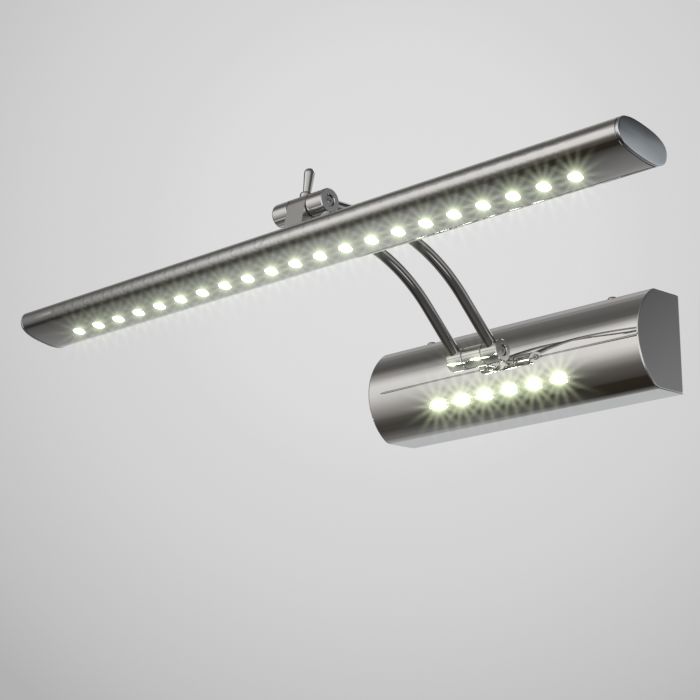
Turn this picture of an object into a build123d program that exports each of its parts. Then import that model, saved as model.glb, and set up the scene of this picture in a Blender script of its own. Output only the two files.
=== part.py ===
from build123d import *
import math
import os

os.makedirs("parts", exist_ok=True)

# Picture light: wall box, two bent arms and an oval LED lamp head.
# Origin: centre of the wall plate's back face. +X right, -Y into the room, +Z up. Millimetres.

# Wall box
BOX_LENGTH = 181.0
BOX_HEIGHT = 49.65
BOX_DEPTH = 34.2
FRONT_RADIUS = 29.0
CORNER_RADIUS = 6.0
COVER_WALL = 1.0
END_PLATE_THICKNESS = 1.6
END_PLATE_RECESS = 0.35
PLATE_THICKNESS = 1.5
PLATE_HALF_LENGTH = 84.0
PLATE_HALF_HEIGHT = 22.9
COVER_SCREW_X = 61.5
COVER_SCREW_Y = -14.3
WALL_SCREW_X = 74.0
WALL_SCREW_HOLE_R = 2.4
GROMMET_X = 9.0
GROMMET_Z = -9.0
GROMMET_BORE_R = 3.5
GROMMET_LENGTH = 4.0

# Joints, both turning about X
LOWER_Y = -46.8
LOWER_Z = 2.95
LOWER_R = 5.6
UPPER_Y = -165.0
UPPER_Z = 54.2
UPPER_R = 5.9
CENTRE_HALF = 6.15
KNUCKLE_IN = 6.7
KNUCKLE_OUT = 17.1
SLEEVE_R = 2.9
SLEEVE_BORE_R = 1.9
PIVOT_SCREW_R = 1.5
RUNNING_CLEARANCE = 0.05
CHAMBER_R = 4.2

# Arms
ARM_X = 12.2
ARM_R = 3.0
ARM_BORE_R = 2.2
ARM_RISE_DEG = 45.9
ARM_BEND_RADIUS = 90.0
ARM_SOCKET_RADIAL = 4.35

# Cables
CABLE_R = 1.2
LEAD_R = 0.8

# Lamp head, drawn upright about the upper joint axis and then tilted
HEAD_TILT_DEG = -12.2
HANDLE_LEAN_DEG = 2.7
TUBE_DROP = 21.8
TUBE_HALF_WIDTH = 15.7
TUBE_HALF_HEIGHT = 7.2
TUBE_FULLNESS = 2.6
TUBE_WALL = 1.2
HEAD_HALF_LENGTH = 200.4
CAP_THICKNESS = 2.5
LED_COUNT = 21
LED_PITCH = 50.0 / 3.0
LED_HOLE_R = 3.3


# Basic round shapes

def cyl_x(radius, x0, x1, y=0.0, z=0.0):
    return Pos((x0 + x1) / 2, y, z) * Rot(0, 90, 0) * Cylinder(radius, abs(x1 - x0))


def cyl_y(radius, y0, y1, x=0.0, z=0.0):
    return Pos(x, (y0 + y1) / 2, z) * Rot(90, 0, 0) * Cylinder(radius, abs(y1 - y0))


def cyl_z(radius, z0, z1, x=0.0, y=0.0):
    return Pos(x, y, (z0 + z1) / 2) * Cylinder(radius, abs(z1 - z0))


def block(x0, x1, y0, y1, z0, z1):
    return Pos((x0 + x1) / 2, (y0 + y1) / 2, (z0 + z1) / 2) * Box(abs(x1 - x0), abs(y1 - y0), abs(z1 - z0))


def rod(radius, start, end):
    start = Vector(*start)
    end = Vector(*end)
    length = (end - start).length
    seat = Plane(origin=start, z_dir=(end - start).normalized())
    return seat * Cylinder(radius, length, align=(Align.CENTER, Align.CENTER, Align.MIN))


def rounded_path(points, radii):
    corners = [Vector(*p) for p in points]
    edges = []
    start = corners[0]
    for i, radius in enumerate(radii, start=1):
        back = (corners[i - 1] - corners[i]).normalized()
        ahead = (corners[i + 1] - corners[i]).normalized()
        half = math.radians(back.get_angle(ahead)) / 2
        reach = radius / math.tan(half)
        inward = (back + ahead).normalized()
        first = corners[i] + back * reach
        last = corners[i] + ahead * reach
        middle = corners[i] + inward * (radius / math.sin(half) - radius)
        if (first - start).length > 0.01:
            edges.append(Line(start, first))
        edges.append(ThreePointArc(first, middle, last))
        start = last
    edges.append(Line(start, corners[-1]))
    return Wire(edges)


def swept_round(radius, points, radii):
    path = rounded_path(points, radii)
    first = Vector(*points[0])
    heading = (Vector(*points[1]) - first).normalized()
    return sweep(Plane(origin=first, z_dir=heading) * Circle(radius), path=path)


def pan_screw(head_r, head_h, shank_r, length):
    # Axis +Z, head above z = 0, shank below, cross recess in the head.
    head = Cylinder(head_r, head_h, align=(Align.CENTER, Align.CENTER, Align.MIN))
    head = fillet(head.edges().group_by(Axis.Z)[-1], head_h * 0.62)
    shank = Cylinder(shank_r, length, align=(Align.CENTER, Align.CENTER, Align.MAX))
    shank = chamfer(shank.edges().group_by(Axis.Z)[0], 0.3)
    slot = block(-head_r * 0.5, head_r * 0.5, -0.35, 0.35, head_h * 0.5, head_h + 1)
    return head + shank - slot - Rot(0, 0, 90) * slot


def socket_screw(head_r, head_h, shank_r, length):
    # Axis +Z, head above z = 0, shank below, hexagon socket in the head.
    head = Cylinder(head_r, head_h, align=(Align.CENTER, Align.CENTER, Align.MIN))
    head = fillet(head.edges().group_by(Axis.Z)[-1], 0.4)
    shank = Cylinder(shank_r, length, align=(Align.CENTER, Align.CENTER, Align.MAX))
    shank = chamfer(shank.edges().group_by(Axis.Z)[0], 0.3)
    socket = Pos(0, 0, head_h - 1.6) * extrude(RegularPolygon(1.45, 6), amount=3)
    return head + shank - socket


# Wall box

def box_section(inset, back_y):
    half = BOX_HEIGHT / 2 - inset
    front_c = Vector(-BOX_DEPTH + FRONT_RADIUS, 0)
    corner_z = BOX_HEIGHT / 2 - CORNER_RADIUS
    corner_y = front_c.X - math.sqrt((FRONT_RADIUS - CORNER_RADIUS) ** 2 - corner_z ** 2)
    outward = (Vector(corner_y, corner_z) - front_c).normalized()
    between = (outward + Vector(0, 1)).normalized()
    top_c = Vector(corner_y, corner_z)
    join = front_c + outward * (FRONT_RADIUS - inset)
    bulge = top_c + between * (CORNER_RADIUS - inset)
    outline = [
        Line((back_y, -half), (back_y, half)),
        Line((back_y, half), (corner_y, half)),
        ThreePointArc((corner_y, half), (bulge.X, bulge.Y), (join.X, join.Y)),
        ThreePointArc((join.X, join.Y), (-BOX_DEPTH + inset, 0), (join.X, -join.Y)),
        ThreePointArc((join.X, -join.Y), (bulge.X, -bulge.Y), (corner_y, -half)),
        Line((corner_y, -half), (back_y, -half)),
    ]
    return Plane.YZ * make_face(outline)


def box_solid(inset, back_y, x0, x1):
    return Pos(x0, 0, 0) * extrude(box_section(inset, back_y), amount=x1 - x0, dir=(1, 0, 0))


def make_box_cover():
    half = BOX_LENGTH / 2
    cover = box_solid(0, 0, -half, half) - box_solid(COVER_WALL, 2, -half - 1, half + 1)
    rims = cover.faces().sort_by(Axis.X)[-1].edges() + cover.faces().sort_by(Axis.X)[0].edges()
    cover = fillet(rims.filter_by(lambda e: e.center().Y < -0.01), 0.3)
    cover -= cyl_y(4.15, -40, -25, 0, LOWER_Z)
    for side in (-1, 1):
        cover -= cyl_z(1.7, 20, 30, side * COVER_SCREW_X, COVER_SCREW_Y)
    return cover


def make_end_plate(side):
    outer = BOX_LENGTH / 2 - END_PLATE_RECESS
    plate = box_solid(COVER_WALL + 0.05, 0, outer - END_PLATE_THICKNESS, outer)
    rim = plate.faces().sort_by(Axis.X)[-1].edges()
    plate = fillet(rim, 0.5)
    if side < 0:
        plate = mirror(plate, about=Plane.YZ)
    return plate


def make_wall_plate():
    length = PLATE_HALF_LENGTH
    height = PLATE_HALF_HEIGHT
    plate = block(-length, length, -PLATE_THICKNESS, 0, -height, height)
    plate = fillet(plate.edges().filter_by(Axis.Y), 3.0)
    for side in (-1, 1):
        x0 = side * COVER_SCREW_X - 5
        plate += block(x0, x0 + 10, -19, 0, 22.1, 23.6)
        plate += block(x0, x0 + 10, -9, 0, -23.6, -22.1)
        plate -= cyl_z(1.52, 20, 25, side * COVER_SCREW_X, COVER_SCREW_Y)
        plate -= cyl_y(WALL_SCREW_HOLE_R, -5, 5, side * WALL_SCREW_X, 0)
    plate -= cyl_y(5.05, -5, 5, GROMMET_X, GROMMET_Z)
    for x in (-66.5, -7.5):
        plate -= cyl_y(1.52, -5, 5, x, 0)
    plate -= cyl_y(1.52, -5, 5, 66, 8)
    return plate


def make_cover_screws():
    screws = []
    for side in (-1, 1):
        seat = Pos(side * COVER_SCREW_X, COVER_SCREW_Y, BOX_HEIGHT / 2)
        screws.append(seat * Rot(0, 0, 20) * pan_screw(2.7, 2.3, 1.5, 6.5))
    return Compound(children=screws)


def make_cable_grommet():
    sleeve = cyl_y(5.0, -GROMMET_LENGTH, 0, GROMMET_X, GROMMET_Z)
    flange = cyl_y(7.0, -3.2, -PLATE_THICKNESS, GROMMET_X, GROMMET_Z)
    flange = fillet(flange.edges().group_by(Axis.Y)[0], 0.7)
    return sleeve + flange - cyl_y(GROMMET_BORE_R, -6, 2, GROMMET_X, GROMMET_Z)


# Driver and supply wiring inside the box

def make_driver_case():
    case = block(-64, -10, -19.5, -PLATE_THICKNESS, -14, 14)
    case = fillet(case.edges().filter_by(Axis.Y) + case.edges().group_by(Axis.Y)[0], 1.5)
    for x in (-66.5, -7.5):
        case += block(x - 3, x + 3, -3.5, -PLATE_THICKNESS, -5, 5)
    for x in (-66.5, -7.5):
        case -= cyl_y(1.6, -6, 0, x, 0)
    case -= block(-60, -14, -20, -18.9, -10, 10)
    return case


def make_driver_screws():
    screws = []
    for x in (-66.5, -7.5):
        screws.append(Pos(x, -3.5, 0) * Rot(90, 0, 0) * pan_screw(2.5, 1.7, 1.5, 3.4))
    return Compound(children=screws)


def make_terminal_block():
    body = block(24, 54, -15.5, -PLATE_THICKNESS, -9, 9)
    body = fillet(body.edges().filter_by(Axis.Y), 1.0)
    for x in (34, 44):
        body -= block(x - 0.6, x + 0.6, -16, -11, -10, 10)
    for x in (29, 39, 49):
        body -= cyl_z(1.7, -12, 12, x, -8.5)
        for z in (-5.5, 5.5):
            body -= cyl_y(2.0, -16, -8.5, x, z)
    return body


def make_terminal_screws():
    screws = []
    for x in (29, 39, 49):
        for z in (-5.5, 5.5):
            screw = cyl_y(1.8, -14.0, -10.2, x, z)
            screw -= block(x - 2.5, x + 2.5, -14.5, -13.4, z - 0.3, z + 0.3)
            screws.append(screw)
    return Compound(children=screws)


def make_live_lead():
    points = [(-10, -8.5, 9), (-4, -8.5, 9), (4, -8.5, 16.5), (29, -8.5, 16.5), (29, -8.5, 4)]
    return swept_round(LEAD_R, points, (2.5, 2.5, 3))


def make_neutral_lead():
    points = [(-10, -12, 4), (0, -12, 4), (9, -12, 13), (33, -12, 13), (39, -8.5, 13), (39, -8.5, 4)]
    return swept_round(LEAD_R, points, (2.5, 2.5, 2, 2.5))


def make_earth_lead():
    points = [(49, -8.5, 4), (49, -8.5, 16.5), (66, -8.5, 16.5), (66, -2.7, 16.5), (66, -2.7, 13.0)]
    return swept_round(LEAD_R, points, (2.5, 2.2, 2.2))


def make_earth_lug():
    lug = cyl_y(3.2, -2.3, -PLATE_THICKNESS, 66, 8) + block(65, 67, -2.3, -PLATE_THICKNESS, 8, 12.9)
    lug += cyl_z(1.15, 10.9, 13.0, 66, -2.7)
    return lug - cyl_y(1.6, -4, 0, 66, 8)


def make_earth_screw():
    return Pos(66, -2.3, 8) * Rot(90, 0, 0) * pan_screw(2.5, 1.7, 1.5, 2.2)


def make_output_cable():
    points = [
        (-64, -11, LOWER_Z),
        (-71, -11, LOWER_Z),
        (-71, -23.3, LOWER_Z),
        (0, -23.3, LOWER_Z),
        (0, LOWER_Y, LOWER_Z),
        (-9.65, LOWER_Y, LOWER_Z),
    ]
    return swept_round(CABLE_R, points, (4, 4, 3.8, 2.2))


# Joints: the same layout at both ends of the arms

def bored_centre(solid, y, z):
    solid -= cyl_x(SLEEVE_R + 0.02, -CENTRE_HALF - 1, -2.2, y, z)
    solid -= cyl_x(2.0, -2.3, 1.4, y, z)
    solid -= cyl_x(PIVOT_SCREW_R + 0.02, 2.5, CENTRE_HALF + 1, y, z)
    return solid


def make_pivot_sleeve(y, z):
    sleeve = cyl_x(SLEEVE_R, -9.7, -2.2, y, z) + cyl_x(3.9, -10.8, -9.6, y, z)
    return sleeve - cyl_x(SLEEVE_BORE_R, -12, 0, y, z)


def make_pivot_screw(y, z):
    return Pos(13.4, y, z) * Rot(0, 90, 0) * socket_screw(2.6, 3.0, PIVOT_SCREW_R, 10.8)


def make_left_knuckle(radius, y, z, tube_end, tube_out):
    knuckle = cyl_x(radius, -15.6, -KNUCKLE_IN, y, z)
    knuckle = chamfer(knuckle.edges().group_by(Axis.X)[-1], 0.25)
    knuckle -= cyl_x(CHAMBER_R, -16, -9.5, y, z)
    knuckle -= cyl_x(SLEEVE_R + RUNNING_CLEARANCE, -10, -6, y, z)
    knuckle -= rod(ARM_R + 0.02, (-ARM_X, *tube_end), (-ARM_X, *tube_out))
    knuckle -= rod(ARM_BORE_R, (-ARM_X, y, z), (-ARM_X, *tube_out))
    return knuckle


def make_right_knuckle(radius, y, z, tube_end, tube_out):
    knuckle = cyl_x(radius, KNUCKLE_IN, KNUCKLE_OUT, y, z)
    knuckle = chamfer(knuckle.edges().group_by(Axis.X)[0], 0.25)
    knuckle = chamfer(knuckle.edges().group_by(Axis.X)[-1], 0.35)
    knuckle -= cyl_x(2.9, 12.5, KNUCKLE_OUT + 1, y, z)
    knuckle = chamfer(knuckle.edges().group_by(Axis.X)[-1].sort_by(SortBy.RADIUS)[0], 0.2)
    knuckle -= cyl_x(PIVOT_SCREW_R + RUNNING_CLEARANCE, 6, 13, y, z)
    knuckle -= rod(ARM_R + 0.02, (ARM_X, *tube_end), (ARM_X, *tube_out))
    return knuckle


def make_knuckle_cap(radius, y, z):
    cap = cyl_x(radius, -KNUCKLE_OUT, -15.62, y, z)
    cap = fillet(cap.edges().group_by(Axis.X)[0], 1.1)
    return cap + cyl_x(CHAMBER_R - 0.02, -15.7, -14.2, y, z)


def make_base_knuckle():
    base = cyl_x(LOWER_R, -CENTRE_HALF, CENTRE_HALF, LOWER_Y, LOWER_Z)
    base = chamfer(base.edges().group_by(Axis.X)[0] + base.edges().group_by(Axis.X)[-1], 0.25)
    base += cyl_y(4.0, LOWER_Y, -27.0, 0, LOWER_Z)
    base = bored_centre(base, LOWER_Y, LOWER_Z)
    return base - cyl_y(SLEEVE_BORE_R, LOWER_Y, -26, 0, LOWER_Z)


def make_stem_collar():
    collar = cyl_y(6.3, -37.0, -30, 0, LOWER_Z)
    collar = fillet(collar.edges().group_by(Axis.Y)[0], 0.8)
    collar -= box_solid(-0.02, 0, -20, 20)
    return collar - cyl_y(4.03, -40, -25, 0, LOWER_Z)


def make_saddle_washer():
    washer = cyl_y(7.0, -34, -31.2, 0, LOWER_Z) & box_solid(COVER_WALL + 0.02, 0, -20, 20)
    return washer - cyl_y(4.03, -40, -25, 0, LOWER_Z)


def make_stem_nut():
    nut = Plane(origin=(0, -31.15, LOWER_Z), z_dir=(0, 1, 0)) * extrude(RegularPolygon(7.5, 6), amount=3.6)
    return nut - cyl_y(4.02, -40, -20, 0, LOWER_Z)


def make_friction_washers():
    washers = []
    for y, z in ((LOWER_Y, LOWER_Z), (UPPER_Y, UPPER_Z)):
        for side in (-1, 1):
            x0 = side * (CENTRE_HALF + 0.04)
            x1 = side * (KNUCKLE_IN - 0.01)
            ring = cyl_x(4.9, x0, x1, y, z) - cyl_x(3.2, x0 - 1, x1 + 1, y, z)
            washers.append(ring)
    return Compound(children=washers)


def make_spring_washers():
    washers = []
    for y, z in ((LOWER_Y, LOWER_Z), (UPPER_Y, UPPER_Z)):
        washers.append(cyl_x(2.6, 12.55, 13.3, y, z) - cyl_x(1.8, 12, 14, y, z))
    return Compound(children=washers)


# Arms

def arm_points(side):
    rise = math.radians(ARM_RISE_DEG)
    socket_y = LOWER_Y - ARM_SOCKET_RADIAL * math.cos(rise)
    socket_z = LOWER_Z + ARM_SOCKET_RADIAL * math.sin(rise)
    away = Vector(side * ARM_X, socket_y, socket_z)
    run = (UPPER_Z - LOWER_Z) / math.tan(rise)
    corner = Vector(side * ARM_X, LOWER_Y - run, UPPER_Z)
    end = Vector(side * ARM_X, UPPER_Y + ARM_SOCKET_RADIAL, UPPER_Z)
    return [tuple(away), tuple(corner), tuple(end)]


def make_arm_tube(side):
    points = arm_points(side)
    outer = swept_round(ARM_R, points, (ARM_BEND_RADIUS,))
    inner = swept_round(ARM_BORE_R, points, (ARM_BEND_RADIUS,))
    return outer - inner


def make_arm_cable():
    points = arm_points(-1)
    path = [
        (-9.75, LOWER_Y, LOWER_Z),
        (-ARM_X, LOWER_Y, LOWER_Z),
        points[1],
        (-ARM_X, UPPER_Y, UPPER_Z),
        (-9.75, UPPER_Y, UPPER_Z),
    ]
    return swept_round(CABLE_R, path, (2.4, ARM_BEND_RADIUS, 2.4))


def socket_ends(y, z, angle_deg):
    angle = math.radians(angle_deg)
    step = Vector(math.cos(angle), math.sin(angle))
    near = Vector(y, z) + step * ARM_SOCKET_RADIAL
    far = Vector(y, z) + step * 12
    return (near.X, near.Y), (far.X, far.Y)


# Lamp head

def oval_face(half_width, half_height):
    power = 2 / TUBE_FULLNESS
    points = []
    for i in range(48):
        turn = 2 * math.pi * i / 48
        c = math.cos(turn)
        s = math.sin(turn)
        y = half_width * math.copysign(abs(c) ** power, c)
        z = half_height * math.copysign(abs(s) ** power, s) - TUBE_DROP
        points.append((y, z))
    return Plane.YZ * make_face(Spline(points, periodic=True))


def oval_solid(inset, x0, x1):
    face = oval_face(TUBE_HALF_WIDTH - inset, TUBE_HALF_HEIGHT - inset)
    return Pos(x0, 0, 0) * extrude(face, amount=x1 - x0, dir=(1, 0, 0))


def led_positions():
    first = -LED_PITCH * (LED_COUNT - 1) / 2
    return [first + LED_PITCH * i for i in range(LED_COUNT)]


def make_lamp_tube():
    half = HEAD_HALF_LENGTH - CAP_THICKNESS
    tube = oval_solid(0, -half, half) - oval_solid(TUBE_WALL, -half - 1, half + 1)
    for x in led_positions():
        tube -= cyl_z(LED_HOLE_R, -TUBE_DROP - 12, -TUBE_DROP - 3, x, 0)
    tube -= cyl_z(2.0, -TUBE_DROP + 3, -TUBE_DROP + 12, 0, 0)
    for y in (-3.6, 3.6):
        tube -= cyl_z(1.4, -TUBE_DROP + 3, -TUBE_DROP + 12, 0, y)
    return tube


def make_tube_cap(side):
    half = HEAD_HALF_LENGTH
    face = oval_solid(0, half - CAP_THICKNESS + 0.3, half)
    face = fillet(face.faces().sort_by(Axis.X)[-1].edges(), 0.9)
    cap = face + oval_solid(0.4, half - CAP_THICKNESS + 0.02, half - CAP_THICKNESS + 0.4)
    cap += oval_solid(TUBE_WALL + 0.05, half - CAP_THICKNESS - 4, half - CAP_THICKNESS + 0.4)
    cap -= oval_solid(TUBE_WALL + 1.4, half - CAP_THICKNESS - 5, half - CAP_THICKNESS)
    if side < 0:
        cap = mirror(cap, about=Plane.YZ)
    return cap


def make_heat_sink():
    bar = block(-176, 176, -14.1, 14.1, -TUBE_DROP - 0.8, -TUBE_DROP + 1.2)
    return bar - cyl_z(1.5, -TUBE_DROP - 3, -TUBE_DROP + 3, 30, 0)


def make_led_board():
    return block(-174, 174, -5, 5, -TUBE_DROP - 2.0, -TUBE_DROP - 0.8)


def make_led_packages():
    packages = []
    for x in led_positions():
        packages.append(block(x - 2.5, x + 2.5, -2.5, 2.5, -TUBE_DROP - 3.6, -TUBE_DROP - 2.0))
    return Compound(children=packages)


def make_lens_strip():
    strip = block(-172, 172, -4.4, 4.4, -TUBE_DROP - 5.2, -TUBE_DROP - 4.4)
    for y in (-3.9, 3.9):
        strip += block(-172, 172, y - 0.5, y + 0.5, -TUBE_DROP - 4.6, -TUBE_DROP - 2.0)
    for x in led_positions():
        dome = cyl_z(3.0, -TUBE_DROP - 7.2, -TUBE_DROP - 4.8, x, 0)
        strip += dome & (Pos(x, 0, -TUBE_DROP - 2.9) * Sphere(4.0))
    return strip


def make_head_block():
    body = block(-CENTRE_HALF, CENTRE_HALF, -UPPER_R, UPPER_R, -17.5, 0)
    body += cyl_x(UPPER_R, -CENTRE_HALF, CENTRE_HALF)
    sides = body.faces().filter_by(Axis.X)
    body = chamfer(sides.edges().filter_by(lambda e: e.center().Z > -17), 0.3)
    body -= oval_solid(-0.02, -20, 20)
    body = bored_centre(body, 0, 0)
    body -= cyl_z(SLEEVE_BORE_R, -18, 0)
    for y in (-3.6, 3.6):
        body -= cyl_z(1.27, -18, -9, 0, y)
    return body - Rot(HANDLE_LEAN_DEG, 0, 0) * cyl_z(1.52, 2.6, 8)


def make_block_screws():
    screws = []
    for y in (-3.6, 3.6):
        seat = Pos(0, y, -TUBE_DROP + 5.75) * Rot(180, 0, 0)
        screws.append(seat * pan_screw(2.0, 1.4, 1.25, 6.6))
    return Compound(children=screws)


def make_tilt_handle():
    collar = cyl_z(3.25, 4.2, 8.0)
    collar = fillet(collar.edges().group_by(Axis.Z)[-1], 1.25)
    collar -= cyl_x(UPPER_R + 0.02, -10, 10)
    grip = Pos(0, 0, 7.5) * Cone(1.92, 2.62, 10.8, align=(Align.CENTER, Align.CENTER, Align.MIN))
    crown = Pos(0, 0, 18.3) * Sphere(2.62)
    return Rot(HANDLE_LEAN_DEG, 0, 0) * (collar + cyl_z(1.5, 2.7, 7.0) + grip + crown)


def make_lamp_cable():
    run_z = -TUBE_DROP + 3.4
    points = [(-9.65, 0, 0), (0, 0, 0), (0, 0, run_z), (30, 0, run_z), (30, 0, -TUBE_DROP - 0.7)]
    return swept_round(CABLE_R, points, (2.2, 2.4, 2.0))


# Assembly

HEAD = Pos(0, UPPER_Y, UPPER_Z) * Rot(HEAD_TILT_DEG, 0, 0)
LOWER_SOCKET = socket_ends(LOWER_Y, LOWER_Z, 180 - ARM_RISE_DEG)
UPPER_SOCKET = socket_ends(UPPER_Y, UPPER_Z, 0)

parts = {
    "wall_plate": make_wall_plate(),
    "box_cover": make_box_cover(),
    "end_plate_left": make_end_plate(-1),
    "end_plate_right": make_end_plate(1),
    "cover_screws": make_cover_screws(),
    "cable_grommet": make_cable_grommet(),
    "driver_case": make_driver_case(),
    "driver_screws": make_driver_screws(),
    "terminal_block": make_terminal_block(),
    "terminal_screws": make_terminal_screws(),
    "live_lead": make_live_lead(),
    "neutral_lead": make_neutral_lead(),
    "earth_lead": make_earth_lead(),
    "earth_lug": make_earth_lug(),
    "earth_screw": make_earth_screw(),
    "output_cable": make_output_cable(),
    "base_knuckle": make_base_knuckle(),
    "stem_collar": make_stem_collar(),
    "saddle_washer": make_saddle_washer(),
    "stem_nut": make_stem_nut(),
    "lower_pivot_sleeve": make_pivot_sleeve(LOWER_Y, LOWER_Z),
    "lower_pivot_screw": make_pivot_screw(LOWER_Y, LOWER_Z),
    "arm_tube_left": make_arm_tube(-1),
    "arm_tube_right": make_arm_tube(1),
    "lower_knuckle_left": make_left_knuckle(LOWER_R, LOWER_Y, LOWER_Z, *LOWER_SOCKET),
    "lower_knuckle_right": make_right_knuckle(LOWER_R, LOWER_Y, LOWER_Z, *LOWER_SOCKET),
    "upper_knuckle_left": make_left_knuckle(UPPER_R, UPPER_Y, UPPER_Z, *UPPER_SOCKET),
    "upper_knuckle_right": make_right_knuckle(UPPER_R, UPPER_Y, UPPER_Z, *UPPER_SOCKET),
    "lower_end_cap": make_knuckle_cap(LOWER_R, LOWER_Y, LOWER_Z),
    "upper_end_cap": make_knuckle_cap(UPPER_R, UPPER_Y, UPPER_Z),
    "friction_washers": make_friction_washers(),
    "spring_washers": make_spring_washers(),
    "arm_cable": make_arm_cable(),
    "head_block": HEAD * make_head_block(),
    "block_screws": HEAD * make_block_screws(),
    "upper_pivot_sleeve": make_pivot_sleeve(UPPER_Y, UPPER_Z),
    "upper_pivot_screw": make_pivot_screw(UPPER_Y, UPPER_Z),
    "tilt_handle": HEAD * make_tilt_handle(),
    "lamp_tube": HEAD * make_lamp_tube(),
    "tube_cap_left": HEAD * make_tube_cap(-1),
    "tube_cap_right": HEAD * make_tube_cap(1),
    "heat_sink": HEAD * make_heat_sink(),
    "led_board": HEAD * make_led_board(),
    "led_packages": HEAD * make_led_packages(),
    "lens_strip": HEAD * make_lens_strip(),
    "lamp_cable": HEAD * make_lamp_cable(),
}

for name, shape in parts.items():
    export_step(shape, f"parts/{name}.step")
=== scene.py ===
import math

import bmesh
import bpy
from mathutils import Matrix, Vector


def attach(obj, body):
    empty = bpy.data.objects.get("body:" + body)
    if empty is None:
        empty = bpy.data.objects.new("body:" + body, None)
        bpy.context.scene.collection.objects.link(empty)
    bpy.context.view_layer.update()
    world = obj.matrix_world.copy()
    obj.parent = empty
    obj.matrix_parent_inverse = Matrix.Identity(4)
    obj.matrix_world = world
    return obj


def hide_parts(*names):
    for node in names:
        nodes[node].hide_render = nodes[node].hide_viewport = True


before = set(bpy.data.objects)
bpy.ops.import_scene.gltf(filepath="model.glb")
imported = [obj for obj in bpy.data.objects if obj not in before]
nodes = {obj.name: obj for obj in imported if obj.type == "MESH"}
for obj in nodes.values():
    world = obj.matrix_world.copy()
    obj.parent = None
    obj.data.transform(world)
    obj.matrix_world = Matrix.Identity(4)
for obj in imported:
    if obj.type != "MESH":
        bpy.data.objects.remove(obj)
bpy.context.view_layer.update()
scene = bpy.context.scene


# Colour helpers

def linear(tone):
    """Linear light of a display grey from 0 to 255."""
    c = tone / 255.0
    return c / 12.92 if c <= 0.04045 else ((c + 0.055) / 1.055) ** 2.4


def tinted(tone, warmth=0.0):
    """Linear RGB of a display grey, a little warm or cool."""
    base = linear(tone)
    return (base * (1 + warmth), base, base * (1 - warmth), 1.0)


# Camera, fitted to the photograph's outlines: metres and degrees

CAMERA_PLACE = (0.6343, -0.7540, -0.2313)
CAMERA_YAW, CAMERA_PITCH, CAMERA_ROLL = (math.radians(a) for a in (45.756, 14.089, -0.422))
CAMERA_LENS, CAMERA_SENSOR = 99.87, 36.0


def place_camera():
    data = bpy.data.cameras.new("camera")
    ob = bpy.data.objects.new("camera", data)
    scene.collection.objects.link(ob)
    level = math.cos(CAMERA_PITCH)
    ahead = Vector((
        -math.sin(CAMERA_YAW) * level,
        math.cos(CAMERA_YAW) * level,
        math.sin(CAMERA_PITCH),
    ))
    right = Vector((math.cos(CAMERA_YAW), math.sin(CAMERA_YAW), 0.0))
    up = right.cross(ahead)
    right, up = (
        math.cos(CAMERA_ROLL) * right + math.sin(CAMERA_ROLL) * up,
        -math.sin(CAMERA_ROLL) * right + math.cos(CAMERA_ROLL) * up,
    )
    matrix = Matrix((right, up, -ahead)).transposed().to_4x4()
    matrix.translation = Vector(CAMERA_PLACE)
    ob.matrix_world = matrix
    data.sensor_width = CAMERA_SENSOR
    data.lens = CAMERA_LENS
    data.clip_start = 0.01
    data.clip_end = 50.0
    scene.camera = ob


place_camera()
scene.view_settings.view_transform = "Standard"


# Node helpers

class Tree:
    def __init__(self, tree):
        self.tree = tree
        self.nodes = tree.nodes
        self.links = tree.links

    def add(self, kind, **props):
        node = self.nodes.new(kind)
        for key, value in props.items():
            setattr(node, key, value)
        return node

    def link(self, a, b):
        self.links.new(a, b)

    def math(self, operation, a, b=None):
        node = self.add("ShaderNodeMath", operation=operation)
        for socket, value in zip(node.inputs, (a, b)):
            if value is None:
                continue
            if isinstance(value, (int, float)):
                socket.default_value = value
            else:
                self.link(value, socket)
        return node.outputs[0]

    def ramp(self, factor, stops):
        node = self.add("ShaderNodeValToRGB")
        elements = node.color_ramp.elements
        while len(elements) < len(stops):
            elements.new(0.5)
        for element, (position, colour) in zip(elements, stops):
            element.position = position
            element.color = colour
        self.link(factor, node.inputs[0])
        return node.outputs[0]

    def map_range(self, value, low, high, to_low=0.0, to_high=1.0, smooth=False):
        node = self.add("ShaderNodeMapRange")
        node.interpolation_type = "SMOOTHSTEP" if smooth else "LINEAR"
        node.inputs["From Min"].default_value = low
        node.inputs["From Max"].default_value = high
        node.inputs["To Min"].default_value = to_low
        node.inputs["To Max"].default_value = to_high
        self.link(value, node.inputs["Value"])
        return node.outputs["Result"]

    def mix(self, factor, a, b):
        node = self.add("ShaderNodeMix", data_type="RGBA")
        sockets = (node.inputs[0], node.inputs[6], node.inputs[7])
        for socket, value in zip(sockets, (factor, a, b)):
            if isinstance(value, (int, float, tuple)):
                socket.default_value = value
            else:
                self.link(value, socket)
        return node.outputs[2]


# What the steel mirrors. Each list goes once round the lamp's long axis: 0 towards the wall, 90 up,
# 180 into the room, 270 down. A stop is an angle in degrees, the grey that polished steel shows
# there, and how warm it is. The first three lists lie to the left of the camera, ever farther along
# the lamp, and the last one to its right.
# Where the greys come from: the first three lists were written down from tones sampled in the
# photograph's pixels, and BACKDROP_TONES from tones read in its background. All of them, and
# RIGHT_SIDE, were then adjusted toward the photograph.

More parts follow.
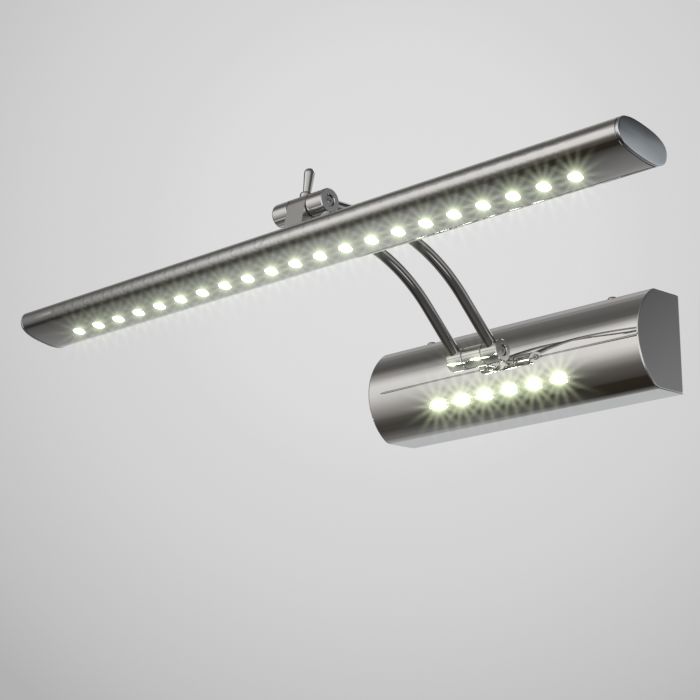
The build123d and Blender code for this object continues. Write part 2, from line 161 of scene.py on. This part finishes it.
NEAR_SIDE = [
    (0, 216, 0.0), (14, 208, 0.0), (24, 128, 0.01), (45, 122, 0.01), (58, 158, 0.01),
    (67, 150, 0.01), (71, 116, 0.02), (75, 134, 0.02), (83, 100, 0.03), (108, 82, 0.04),
    (121, 84, 0.04), (129, 124, 0.03), (138, 186, 0.02), (145, 214, 0.015), (182, 208, 0.02),
    (193, 186, 0.03), (205, 136, 0.05), (217, 95, 0.06), (223, 80, 0.07), (241, 62, 0.1),
    (246, 54, 0.14), (249, 37, 0.26), (273, 34, 0.26), (277, 48, 0.12), (300, 88, 0.01),
    (318, 114, 0.0), (338, 136, 0.0), (343, 172, -0.02), (349, 180, -0.01), (355, 208, 0.0),
    (360, 216, 0.0),
]
MIDDLE = [
    (0, 214, 0.0), (14, 204, 0.0), (24, 130, 0.01), (45, 122, 0.01), (58, 152, 0.01),
    (67, 140, 0.01), (71, 112, 0.02), (75, 120, 0.02), (84, 98, 0.03), (106, 76, 0.04),
    (114, 86, 0.04), (131, 152, 0.03), (140, 190, 0.02), (148, 208, 0.015), (166, 202, 0.015),
    (180, 184, 0.02), (193, 158, 0.03), (205, 132, 0.04), (224, 76, 0.07), (236, 60, 0.1),
    (250, 60, 0.06), (262, 86, 0.03), (274, 116, 0.01), (290, 132, 0.0), (318, 146, 0.0),
    (338, 156, 0.0), (343, 171, -0.02), (349, 180, -0.01), (355, 206, 0.0), (360, 214, 0.0),
]
FAR_SIDE = [
    (0, 204, 0.0), (14, 190, 0.0), (26, 134, 0.0), (45, 118, 0.0), (78, 100, 0.02),
    (98, 84, 0.03), (112, 84, 0.03), (130, 112, 0.03), (150, 118, 0.02), (178, 108, 0.02),
    (196, 98, 0.02), (212, 74, 0.04), (227, 46, 0.06), (240, 42, 0.06), (252, 66, 0.04),
    (264, 78, 0.04), (285, 88, 0.03), (305, 104, 0.02), (330, 128, 0.0), (345, 165, 0.0),
    (355, 190, 0.0), (360, 204, 0.0),
]
RIGHT_SIDE = [
    (0, 176, -0.02), (9, 168, -0.03), (14, 150, -0.04), (21, 134, -0.05), (25, 118, -0.05),
    (29, 86, -0.04), (33, 56, -0.03), (36, 44, -0.02), (38, 92, -0.02), (40, 52, -0.02),
    (60, 74, -0.03), (90, 66, 0.0), (130, 120, 0.0), (165, 210, 0.01), (200, 226, 0.01),
    (222, 222, 0.0), (234, 104, 0.0), (250, 80, 0.0), (328, 82, -0.02), (342, 156, -0.02),
    (360, 176, -0.02),
]
STEEL_REFLECTANCE = 0.80

# Where one list gives way to the next, by how far a direction points along +X
NEAR_TO_MIDDLE = (-0.60, -0.665)
MIDDLE_TO_FAR = (-0.70, -0.79)
LEFT_TO_RIGHT = (-0.40, 0.0)

# Two white cards: a direction, the cosines where the card's edge starts and ends, and its light
ARM_CARD = ((-0.15, 0.82, 0.55), (0.955, 0.975), (1.45, 1.45, 1.43, 1))
RIM_CARD = ((0.65, 0.08, -0.756), (0.986, 0.994), (0.95, 0.95, 0.94, 1))

# The backdrop that the camera sees: a pool of light round one direction, darker to its edge
BACKDROP_AIM = (-0.6671, 0.6856, 0.2984)
BACKDROP_REACH = math.radians(17)
BACKDROP_TONES = [
    (0.0, 178), (0.22, 191), (0.45, 201), (0.63, 209), (0.81, 214), (0.90, 220), (1.0, 222),
]


def round_stops(stops):
    gain = 1 / STEEL_REFLECTANCE
    made = []
    for angle, tone, warmth in stops:
        r, g, b, a = tinted(tone, warmth)
        made.append((angle / 360, (r * gain, g * gain, b * gain, a)))
    return made


def toward(t, direction, aim):
    """Cosine of the angle between a direction and an aim."""
    node = t.add("ShaderNodeVectorMath", operation="DOT_PRODUCT")
    t.link(direction, node.inputs[0])
    node.inputs[1].default_value = Vector(aim).normalized()
    return node.outputs["Value"]


def make_world():
    world = bpy.data.worlds.new("studio")
    scene.world = world
    world.use_nodes = True
    t = Tree(world.node_tree)
    t.nodes.clear()
    direction = t.add("ShaderNodeTexCoord").outputs["Generated"]
    split = t.add("ShaderNodeSeparateXYZ")
    t.link(direction, split.inputs[0])
    x, y, z = split.outputs
    turn = t.math("FRACT", t.math("MULTIPLY", t.math("ARCTAN2", z, y), 1 / (2 * math.pi)))
    near, middle, far, right = (
        t.ramp(turn, round_stops(stops)) for stops in (NEAR_SIDE, MIDDLE, FAR_SIDE, RIGHT_SIDE)
    )
    left = t.mix(t.map_range(x, *NEAR_TO_MIDDLE), near, middle)
    left = t.mix(t.map_range(x, *MIDDLE_TO_FAR), left, far)
    studio = t.mix(t.map_range(x, *LEFT_TO_RIGHT, smooth=True), left, right)
    for aim, edge, light in (ARM_CARD, RIM_CARD):
        card = t.map_range(toward(t, direction, aim), *edge, smooth=True)
        studio = t.mix(card, studio, light)

    glow = t.map_range(toward(t, direction, BACKDROP_AIM), math.cos(BACKDROP_REACH), 1.0)
    backdrop = t.ramp(glow, [(place, tinted(tone)) for place, tone in BACKDROP_TONES])

    sees = t.add("ShaderNodeLightPath").outputs["Is Camera Ray"]
    final = t.mix(sees, studio, backdrop)
    back = t.add("ShaderNodeBackground")
    t.link(final, back.inputs["Color"])
    out = t.add("ShaderNodeOutputWorld")
    t.link(back.outputs[0], out.inputs["Surface"])


make_world()


# Floor, far below the lamp: plain and pale, and not mirrored in the steel

FLOOR_HALF_SIDE, FLOOR_HEIGHT = 6.0, -1.3


def make_floor():
    mesh = bpy.data.meshes.new("floor")
    s, z = FLOOR_HALF_SIDE, FLOOR_HEIGHT
    mesh.from_pydata([(-s, -s, z), (s, -s, z), (s, s, z), (-s, s, z)], [], [(0, 1, 2, 3)])
    ob = bpy.data.objects.new("floor", mesh)
    scene.collection.objects.link(ob)
    ob.visible_glossy = False
    material = bpy.data.materials.new("floor")
    material.use_nodes = True
    shader = material.node_tree.nodes["Principled BSDF"]
    shader.inputs["Base Color"].default_value = (0.86, 0.86, 0.85, 1)
    shader.inputs["Roughness"].default_value = 0.9
    shader.inputs["Emission Color"].default_value = (1, 1, 0.99, 1)
    shader.inputs["Emission Strength"].default_value = 0.2
    mesh.materials.append(material)


make_floor()


# Materials

def new_material(name):
    material = bpy.data.materials.new(name)
    material.use_nodes = True
    t = Tree(material.node_tree)
    shader = t.nodes["Principled BSDF"]
    return material, t, shader


def object_point(t):
    return t.add("ShaderNodeTexCoord").outputs["Object"]


def noise(t, point, scale, detail=3.0, roughness=0.5, stretch=None):
    if stretch is not None:
        mapping = t.add("ShaderNodeMapping")
        mapping.inputs["Scale"].default_value = stretch
        t.link(point, mapping.inputs["Vector"])
        point = mapping.outputs[0]
    node = t.add("ShaderNodeTexNoise")
    node.inputs["Scale"].default_value = scale
    node.inputs["Detail"].default_value = detail
    node.inputs["Roughness"].default_value = roughness
    t.link(point, node.inputs["Vector"])
    return node.outputs["Fac"]


def bump(t, shader, height, strength, distance):
    node = t.add("ShaderNodeBump")
    node.inputs["Strength"].default_value = strength
    node.inputs["Distance"].default_value = distance
    t.link(height, node.inputs["Height"])
    t.link(node.outputs[0], shader.inputs["Normal"])


def metal(name, low, high, rough, grain=None, wave=None, patches=30.0, stretch=None):
    """A metal whose colour and roughness drift in soft patches, with a fine grain or a slow wave.

    Grain and wave each hold a noise scale, a strength and a distance in metres.
    """
    material, t, shader = new_material(name)
    shader.inputs["Metallic"].default_value = 1.0
    point = object_point(t)
    cloud = noise(t, point, patches, 4.0, 0.55)
    colour = t.ramp(cloud, [(0.3, (*low, 1)), (0.7, (*high, 1))])
    t.link(colour, shader.inputs["Base Color"])
    fine = noise(t, point, 900.0, 2.0, 0.6)
    mixed = t.math("ADD", t.math("MULTIPLY", cloud, 0.7), t.math("MULTIPLY", fine, 0.3))
    t.link(t.map_range(mixed, 0.3, 0.7, *rough), shader.inputs["Roughness"])
    if grain is not None:
        scale, strength, distance = grain
        bump(t, shader, noise(t, point, scale, 3.0, 0.6, stretch), strength, distance)
    elif wave is not None:
        scale, strength, distance = wave
        bump(t, shader, noise(t, point, scale, 1.0, 0.4), strength, distance)
    return material


PEBBLE_SCALE, PEBBLE_STRENGTH, PEBBLE_DEPTH = 1500.0, 0.25, 0.0001


def plastic(name, low, high, rough):
    """A plastic or rubber with soft patches and a fine pebbled surface."""
    material, t, shader = new_material(name)
    point = object_point(t)
    cloud = noise(t, point, 60.0, 4.0, 0.6)
    t.link(t.ramp(cloud, [(0.3, (*low, 1)), (0.7, (*high, 1))]), shader.inputs["Base Color"])
    t.link(t.map_range(cloud, 0.3, 0.7, *rough), shader.inputs["Roughness"])
    pebble = noise(t, point, PEBBLE_SCALE, 2.0, 0.6)
    bump(t, shader, pebble, PEBBLE_STRENGTH, PEBBLE_DEPTH)
    return material


# The lamp head is tilted about the upper hinge: millimetres and radians.
HINGE_Y, HINGE_Z = -165.0, 54.2
HEAD_TILT = math.radians(-12.2)

# The lit row: LEDs at an equal pitch from the left end.
LED_FIRST_X, LED_PITCH = -0.16667, 0.016667
LED_COLOUR = (0.92, 1.0, 0.84)
LED_CORE, LED_BODY, LED_EDGE = 90.0, 9.0, 0.9


def led_distance(t, point):
    """Distance from the nearest LED's axis, in metres."""
    split = t.add("ShaderNodeSeparateXYZ")
    t.link(point, split.inputs[0])
    x, y, z = split.outputs
    steps = t.math("DIVIDE", t.math("SUBTRACT", x, LED_FIRST_X), LED_PITCH)
    offset = t.math("SUBTRACT", t.math("FRACT", t.math("ADD", steps, 0.5)), 0.5)
    along = t.math("MULTIPLY", offset, LED_PITCH)
    across = t.math(
        "ADD",
        t.math("MULTIPLY", t.math("SUBTRACT", y, HINGE_Y / 1000), math.cos(HEAD_TILT)),
        t.math("MULTIPLY", t.math("SUBTRACT", z, HINGE_Z / 1000), math.sin(HEAD_TILT)),
    )
    squares = [t.math("MULTIPLY", side, side) for side in (along, across)]
    return t.math("SQRT", t.math("ADD", *squares))


def glowing(name):
    """A lit LED surface: a very bright core, a bright body and a soft edge, with a fine grain."""
    material, t, shader = new_material(name)
    point = object_point(t)
    grain = t.map_range(noise(t, point, 900.0, 2.0, 0.5), 0.3, 0.7, 0.93, 1.07)
    away = led_distance(t, point)
    profile = t.math(
        "ADD",
        t.map_range(away, 0.0005, 0.0013, LED_CORE - LED_BODY, 0.0, smooth=True),
        t.map_range(away, 0.0016, 0.0034, LED_BODY, LED_EDGE, smooth=True),
    )
    shader.inputs["Base Color"].default_value = (0.85, 0.87, 0.80, 1)
    shader.inputs["Roughness"].default_value = 0.25
    shader.inputs["Emission Color"].default_value = (*LED_COLOUR, 1)
    t.link(t.math("MULTIPLY", profile, grain), shader.inputs["Emission Strength"])
    return material


MATERIALS = {
    "polished_steel": metal(
        "polished_steel_finish", (0.785, 0.775, 0.76), (0.815, 0.805, 0.79), (0.02, 0.05),
        wave=(45.0, 0.012, 0.001),
    ),
    "satin_steel": metal(
        "satin_steel_finish", (0.405, 0.385, 0.375), (0.435, 0.415, 0.405), (0.26, 0.34),
        grain=(2600.0, 0.05, 0.0001),
    ),
    "zinc_steel": metal(
        "zinc_steel_finish", (0.52, 0.54, 0.55), (0.66, 0.67, 0.67), (0.28, 0.45),
        grain=(500.0, 0.2, 0.0002), patches=160.0,
    ),
    "screw_steel": metal(
        "screw_steel_finish", (0.62, 0.62, 0.61), (0.74, 0.73, 0.72), (0.16, 0.28),
        grain=(1800.0, 0.15, 0.0001), patches=300.0,
    ),
    "brass": metal(
        "brass_finish", (0.70, 0.53, 0.24), (0.80, 0.63, 0.32), (0.2, 0.35),
        grain=(1200.0, 0.1, 0.0001), patches=200.0,
    ),
    "tinned_copper": metal(
        "tinned_copper_finish", (0.60, 0.57, 0.53), (0.72, 0.69, 0.65), (0.25, 0.4),
        grain=(1200.0, 0.1, 0.0001), patches=200.0,
    ),
    "heat_sink_aluminium": metal(
        "heat_sink_finish", (0.72, 0.72, 0.73), (0.80, 0.80, 0.81), (0.3, 0.42),
        grain=(3000.0, 0.25, 0.0001), stretch=(0.02, 1.0, 1.0),
    ),
    "black_rubber": plastic(
        "black_rubber_finish", (0.012, 0.012, 0.013), (0.022, 0.022, 0.023), (0.55, 0.75),
    ),
    "driver_plastic": plastic(
        "driver_plastic_finish", (0.75, 0.75, 0.73), (0.82, 0.82, 0.80), (0.4, 0.55),
    ),
    "terminal_plastic": plastic(
        "terminal_plastic_finish", (0.70, 0.69, 0.62), (0.80, 0.79, 0.72), (0.4, 0.55),
    ),
    "brown_insulation": plastic(
        "brown_insulation_finish", (0.10, 0.045, 0.02), (0.14, 0.06, 0.03), (0.35, 0.5),
    ),
    "blue_insulation": plastic(
        "blue_insulation_finish", (0.02, 0.09, 0.35), (0.03, 0.12, 0.45), (0.35, 0.5),
    ),
    "earth_insulation": plastic(
        "earth_insulation_finish", (0.10, 0.32, 0.04), (0.62, 0.60, 0.05), (0.35, 0.5),
    ),
    "cable_jacket": plastic(
        "cable_jacket_finish", (0.02, 0.02, 0.02), (0.035, 0.035, 0.035), (0.4, 0.6),
    ),
    "washer_plastic": plastic(
        "washer_plastic_finish", (0.03, 0.03, 0.03), (0.05, 0.05, 0.05), (0.35, 0.5),
    ),
    "board_white": plastic(
        "board_white_finish", (0.80, 0.81, 0.80), (0.86, 0.87, 0.86), (0.35, 0.5),
    ),
    "led_light": glowing("led_light_finish"),
    "clear_lens": glowing("clear_lens_finish"),
}

# Finishes of single pieces, where they differ from the rest of their slot. The arms' steel is
# polished steel made darker: painted shade on the arms.
ARM_SHADED_STEEL = metal(
    "arm_steel_painted_shade", (0.47, 0.455, 0.45), (0.53, 0.515, 0.50), (0.04, 0.09),
    wave=(80.0, 0.01, 0.001),
)
# The head block's steel is satin steel made lighter: painted light on the block.
BLOCK_LIT_STEEL = metal(
    "block_steel_painted_light", (0.67, 0.66, 0.655), (0.73, 0.72, 0.715), (0.24, 0.33),
    grain=(2600.0, 0.05, 0.0001),
)
CAP_FINISH = metal(
    "crowned_cap_finish", (0.76, 0.78, 0.80), (0.81, 0.83, 0.85), (0.05, 0.10),
    wave=(60.0, 0.01, 0.001),
)


def dress_nodes():
    for node in nodes.values():
        for slot in node.material_slots:
            slot.material = MATERIALS[slot.material.name.split(".")[0]]
    # The arms get the darker copy of polished steel: painted shade.
    for name in ("arm_tube_left", "arm_tube_right"):
        nodes[name].material_slots[0].material = ARM_SHADED_STEEL
    # The head block gets the lighter copy of satin steel: painted light.
    nodes["head_block"].material_slots[0].material = BLOCK_LIT_STEEL


dress_nodes()


# Meshes that stand for CAD nodes

SHARP_ANGLE = math.radians(32)


def lofted(name, rings, body, slot, *replaced):
    """A closed piece through rings of points, all with the same count, capped at both ends."""
    bm = bmesh.new()
    rows = [[bm.verts.new(point) for point in ring] for ring in rings]
    count = len(rows[0])
    for low, high in zip(rows, rows[1:]):
        for i in range(count):
            j = (i + 1) % count
            bm.faces.new((low[i], low[j], high[j], high[i]))
    bm.faces.new(list(reversed(rows[0])))
    bm.faces.new(rows[-1])
    bmesh.ops.recalc_face_normals(bm, faces=bm.faces)
    for face in bm.faces:
        face.smooth = True
    mesh = bpy.data.meshes.new(name)
    bm.to_mesh(mesh)
    bm.free()
    mesh.set_sharp_from_angle(angle=SHARP_ANGLE)
    mesh.materials.append(MATERIALS[slot])
    ob = bpy.data.objects.new(name, mesh)
    scene.collection.objects.link(ob)
    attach(ob, body)
    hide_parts(*replaced)
    return ob


def arc(centre_y, centre_z, radius, start, stop, steps):
    made = []
    for k in range(steps + 1):
        a = math.radians(start + (stop - start) * k / steps)
        made.append((centre_y + radius * math.cos(a), centre_z + radius * math.sin(a)))
    return made


# The wall box's section, in millimetres: a broad round front, two rounded corners and a flat back
# on the wall. The front's arc meets a corner's at the join angle.
BOX_END, END_PLATE_THICKNESS = 90.5, 1.6
LID_LIP, LID_RIM, LID_RIM_STEPS = 1.25, 0.55, 6
FRONT_CENTRE_Y, FRONT_RADIUS = -5.2, 29.0
CORNER_Y, CORNER_Z, CORNER_RADIUS = -18.41, 18.825, 6.0
HALF_HEIGHT = 24.825
WALL_GAP, BACK_RADIUS = 0.35, 1.7
JOIN_ANGLE = 125.06


def box_section(x, inset):
    back_y, back_z = -WALL_GAP - BACK_RADIUS, HALF_HEIGHT - BACK_RADIUS
    points = arc(back_y, back_z, max(BACK_RADIUS - inset, 0.3), 0, 90, 8)
    points += arc(CORNER_Y, CORNER_Z, CORNER_RADIUS - inset, 90, JOIN_ANGLE, 12)[1:]
    points += arc(FRONT_CENTRE_Y, 0, FRONT_RADIUS - inset, JOIN_ANGLE, 360 - JOIN_ANGLE, 90)[1:]
    points += arc(CORNER_Y, -CORNER_Z, CORNER_RADIUS - inset, 360 - JOIN_ANGLE, 270, 12)[1:]
    points += arc(back_y, -back_z, max(BACK_RADIUS - inset, 0.3), 270, 360, 8)[1:]
    return [Vector((x, y, z)) / 1000 for y, z in points]


def side_name(stem, side):
    return stem + ("_right" if side > 0 else "_left")


def make_end_lid(side, node):
    """A pressed lid on the box's end: a lip inside the cover, a rounded rim and a flat face."""
    rings = [
        box_section(side * (BOX_END - END_PLATE_THICKNESS), LID_LIP),
        box_section(side * BOX_END, LID_LIP),
        box_section(side * BOX_END, 0.0),
    ]
    for k in range(1, LID_RIM_STEPS + 1):
        a = math.radians(90 / LID_RIM_STEPS * k)
        reach = BOX_END + LID_RIM * math.sin(a)
        rings.append(box_section(side * reach, LID_RIM * (1 - math.cos(a))))
    lid = lofted(side_name("box_end", side), rings, "wall_box", "satin_steel", node)
    lid.data.materials.append(MATERIALS["polished_steel"])
    for face in lid.data.polygons:
        if len(face.vertices) == 4:
            face.material_index = 1


make_end_lid(1, "end_plate_right")
make_end_lid(-1, "end_plate_left")


# The lamp tube's section, in millimetres: a full oval hung below the upper hinge.
TUBE_DROP = 21.8
OVAL_HALF_WIDTH, OVAL_HALF_HEIGHT, OVAL_FULLNESS = 15.7, 7.2, 2.6
OVAL_POINTS = 160
HEAD_END, CAP_THICKNESS = 200.4, 2.5
CAP_PLUG_DEPTH, CAP_PLUG_INSET = 3.5, 1.25
CAP_GROOVE, CAP_RIM, CAP_CROWN = 0.9, 0.4, 0.55
CAP_RIM_STEPS, CAP_CROWN_STEPS = 6, 24
CAP_RIM_END = math.radians(81)


def oval_section(x, inset, scale=1.0):
    points = []
    power = 2 / OVAL_FULLNESS
    tilt_cos, tilt_sin = math.cos(HEAD_TILT), math.sin(HEAD_TILT)
    for k in range(OVAL_POINTS):
        a = 2 * math.pi * k / OVAL_POINTS
        c, s = math.cos(a), math.sin(a)
        v = scale * (OVAL_HALF_WIDTH - inset) * math.copysign(abs(c) ** power, c)
        w = scale * (OVAL_HALF_HEIGHT - inset) * math.copysign(abs(s) ** power, s) - TUBE_DROP
        y = HINGE_Y + v * tilt_cos - w * tilt_sin
        z = HINGE_Z + v * tilt_sin + w * tilt_cos
        points.append(Vector((x, y, z)) / 1000)
    return points


def make_tube_cap(side, node):
    """A plug with a shadow groove against the tube, a rounded rim and a gently crowned face."""
    seat = HEAD_END - CAP_THICKNESS
    edge = HEAD_END - CAP_CROWN - CAP_RIM
    profile = [
        (seat - CAP_PLUG_DEPTH, CAP_PLUG_INSET),
        (seat + 0.02, CAP_PLUG_INSET),
        (seat + 0.02, CAP_GROOVE),
        (seat + 0.55, CAP_GROOVE),
        (seat + 0.57, 0.14),
        (seat + 0.70, 0.0),
        (edge, 0.0),
    ]
    for k in range(1, CAP_RIM_STEPS + 1):
        a = CAP_RIM_END / CAP_RIM_STEPS * k
        profile.append((edge + CAP_RIM * math.sin(a), CAP_RIM * (1 - math.cos(a))))
    rings = [oval_section(side * x, inset) for x, inset in profile]
    start, inset = profile[-1]
    for k in range(1, CAP_CROWN_STEPS):
        scale = 1 - k / CAP_CROWN_STEPS
        rise = (HEAD_END - start) * (1 - scale ** 2)
        rings.append(oval_section(side * (start + rise), inset, scale))
    cap = lofted(side_name("lamp_end", side), rings, "lamp_head", "satin_steel", node)
    cap.data.materials[0] = CAP_FINISH


make_tube_cap(1, "tube_cap_right")
make_tube_cap(-1, "tube_cap_left")


# Stand-ins for the row of stars on the photographed box, whose cause isn't known: small lights, in
# metres and watts, that only the cover and the lower joint receive.

MIRRORED_COUNT, MIRRORED_PITCH = 6, 0.020
MIRRORED_FIRST = (-0.196, -0.169, -0.115)
MIRRORED_FACING = (0.0, 0.82, 0.57)
MIRRORED_PARTS = (("core", 0.0026, 0.022, 0.0230), ("body", 0.0088, 0.074, 0.0200))
MIRRORS = (
    "box_cover", "base_knuckle", "stem_collar", "lower_knuckle_left", "lower_knuckle_right",
    "lower_end_cap", "lower_pivot_screw",
)


def make_mirrored_leds():
    mirrors = bpy.data.collections.new("mirrored_led_receivers")
    for name in MIRRORS:
        mirrors.objects.link(nodes[name])
    facing = Vector(MIRRORED_FACING).normalized().to_track_quat("-Z", "Y")
    for k in range(MIRRORED_COUNT):
        for part, width, height, power in MIRRORED_PARTS:
            data = bpy.data.lights.new("mirrored_led_%d_%s" % (k + 1, part), "AREA")
            data.shape = "ELLIPSE"
            data.size = width
            data.size_y = height
            data.energy = power
            data.color = LED_COLOUR
            ob = bpy.data.objects.new(data.name, data)
            scene.collection.objects.link(ob)
            ob.location = Vector(MIRRORED_FIRST) + Vector((MIRRORED_PITCH * k, 0.0, 0.0))
            ob.rotation_mode = "QUATERNION"
            ob.rotation_quaternion = facing
            ob.visible_camera = False
            ob.light_linking.receiver_collection = mirrors


make_mirrored_leds()


# The lens: short rays and a soft bloom round anything as bright as an LED

RAYS = {
    "Threshold": 14.0, "Strength": 0.36, "Saturation": 1.0, "Tint": (0.94, 1.0, 0.78, 1.0),
    "Streaks": 14, "Streaks Angle": 0.12, "Iterations": 3, "Fade": 0.78, "Color Modulation": 0.0,
}
BLOOM = {
    "Threshold": 4.0, "Strength": 0.08, "Saturation": 1.0, "Tint": (0.90, 1.0, 0.74, 1.0),
    "Size": 0.16,
}


def make_lens_glow():
    scene.use_nodes = True
    t = Tree(scene.node_tree)
    t.nodes.clear()
    image = t.add("CompositorNodeRLayers").outputs["Image"]
    for glare_type, settings in (("STREAKS", RAYS), ("BLOOM", BLOOM)):
        glare = t.add("CompositorNodeGlare", glare_type=glare_type)
        for socket, value in settings.items():
            glare.inputs[socket].default_value = value
        t.link(image, glare.inputs["Image"])
        image = glare.outputs["Image"]
    out = t.add("CompositorNodeComposite")
    t.link(image, out.inputs["Image"])


make_lens_glow()
